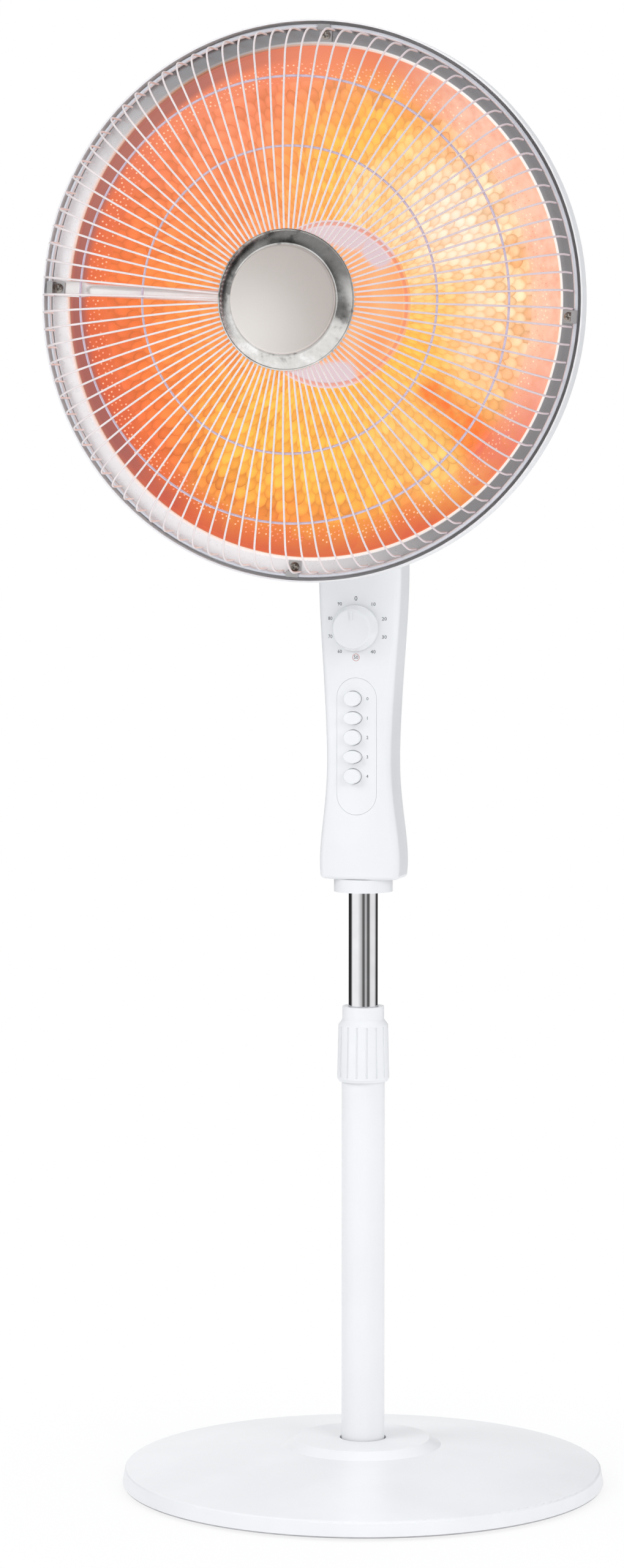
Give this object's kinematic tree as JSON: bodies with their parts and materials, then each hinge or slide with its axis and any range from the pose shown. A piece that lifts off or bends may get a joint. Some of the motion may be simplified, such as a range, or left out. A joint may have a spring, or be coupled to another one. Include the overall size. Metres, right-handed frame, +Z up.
{
  "type": "parabolic heater",
  "caption": "Pedestal parabolic electric heater: weighted round base, telescoping pole, control box with timer and push buttons, tilting and swinging dish with wire guard.",
  "frame": {"origin": "on the floor under the pole's axis, at the centre of the rubber foot ring's underside", "axes": "+Z up along the pole, -Y the way the dish faces, +X to the right seen from the front"},
  "size_m": [0.394, 0.4018, 1.074],
  "materials": {
    "white_plastic": "moulded, low gloss",
    "white_paint": "gloss enamel",
    "grey_plastic": "moulded",
    "dark_plastic": "moulded",
    "rubber": "matt",
    "steel": "zinc plated",
    "cast_weight": "rough cast",
    "die_cast": "painted casting",
    "chrome": "polished",
    "satin_steel": "satin",
    "reflector": "bright, embossed",
    "ceramic": "unglazed",
    "hot_wire": "glowing"
  },
  "bodies": {
    "base": {"base_cover": "white_plastic", "base_plate": "steel", "base_weight": "cast_weight", "foot_ring": "rubber", "base_screws": "steel", "pole": "white_paint", "pole_plug": "steel", "pole_bolt": "steel", "pole_washer": "steel", "tube_bush": "grey_plastic"},
    "collar": {"locking_collar": "white_plastic"},
    "mast": {"inner_tube": "chrome", "tube_guide": "grey_plastic", "tube_socket": "white_plastic", "box_front": "white_plastic", "box_rear": "white_plastic", "box_screws": "steel", "inner_screws": "steel", "button_panel": "white_plastic", "switch_block": "dark_plastic", "timer_body": "dark_plastic", "timer_nut": "steel", "tip_switch": "dark_plastic", "terminal_block": "dark_plastic", "cord_gland": "grey_plastic", "tilt_fork": "steel", "tilt_bolt": "steel"},
    "timer": {"timer_knob": "white_plastic", "timer_shaft": "steel"},
    "tilt_clamp": {"tilt_knob": "grey_plastic"},
    "neck": {"neck": "die_cast", "swing_arm": "steel", "spindle_screw": "steel"},
    "head": {"head_bracket": "die_cast", "head_screws": "steel", "swing_motor": "steel", "rear_cover": "white_plastic", "thermal_cutout": "steel", "dish_shell": "white_paint", "reflector": "reflector", "hub_plate": "reflector", "hub_spacers": "steel", "element_holder": "ceramic", "element_core": "ceramic", "heating_coil": "hot_wire", "support_arm": "chrome", "guard_spokes": "chrome", "guard_rings": "chrome", "guard_rim": "chrome", "cap_shell": "chrome", "cap_disc": "satin_steel", "guard_clips": "steel", "clip_screws": "steel"},
    "crank": {"crank": "grey_plastic"},
    "link": {"link": "steel"},
    "button_1": {"button_1": "white_plastic"},
    "button_2": {"button_2": "white_plastic"},
    "button_3": {"button_3": "white_plastic"},
    "button_4": {"button_4": "white_plastic"},
    "button_5": {"button_5": "white_plastic"}
  },
  "joints": [
    {"name": "collar_turn", "type": "hinge", "parent": "base", "child": "collar", "pos_m": [0, 0, 0.33], "axis": [0, 0, 1], "range_deg": [0, 120]},
    {"name": "mast_slide", "type": "slide", "parent": "base", "child": "mast", "axis": [0, 0, 1], "range_m": [-0.08, 0.135]},
    {"name": "timer_turn", "type": "hinge", "parent": "mast", "child": "timer", "pos_m": [0, -0.03, 0.6425], "axis": [0, 1, 0], "range_deg": [0, 324]},
    {"name": "clamp_turn", "type": "hinge", "parent": "mast", "child": "tilt_clamp", "pos_m": [0.02, 0, 0.7273], "axis": [1, 0, 0], "range_deg": [0, 180]},
    {"name": "head_tilt", "type": "hinge", "parent": "mast", "child": "neck", "pos_m": [0, 0, 0.7273], "axis": [-1, 0, 0], "range_deg": [-12, 22]},
    {"name": "head_swing", "type": "hinge", "parent": "neck", "child": "head", "pos_m": [0, 0, 0.85], "axis": [0, 0, 1], "range_deg": [-30, 30]},
    {"name": "crank_turn", "type": "hinge", "parent": "head", "child": "crank", "pos_m": [0, -0.05, 0.86], "axis": [0, 0, 1], "range_deg": [-55, 55]},
    {"name": "link_turn", "type": "hinge", "parent": "crank", "child": "link", "pos_m": [0.009, -0.05, 0.857], "axis": [0, 0, 1], "range_deg": [-55, 55]},
    {"name": "press_button_1", "type": "slide", "parent": "mast", "child": "button_1", "axis": [0, 1, 0], "range_m": [0, 0.003], "stiffness_N_per_m": 300},
    {"name": "press_button_2", "type": "slide", "parent": "mast", "child": "button_2", "axis": [0, 1, 0], "range_m": [0, 0.003], "stiffness_N_per_m": 300},
    {"name": "press_button_3", "type": "slide", "parent": "mast", "child": "button_3", "axis": [0, 1, 0], "range_m": [0, 0.003], "stiffness_N_per_m": 300},
    {"name": "press_button_4", "type": "slide", "parent": "mast", "child": "button_4", "axis": [0, 1, 0], "range_m": [0, 0.003], "stiffness_N_per_m": 300},
    {"name": "press_button_5", "type": "slide", "parent": "mast", "child": "button_5", "axis": [0, 1, 0], "range_m": [0, 0.003], "stiffness_N_per_m": 300}
  ],
  "couplings": [
    {"joint": "crank_turn", "follows": "head_swing", "ratio": -1.647},
    {"joint": "link_turn", "follows": "head_swing", "ratio": 1.647}
  ]
}
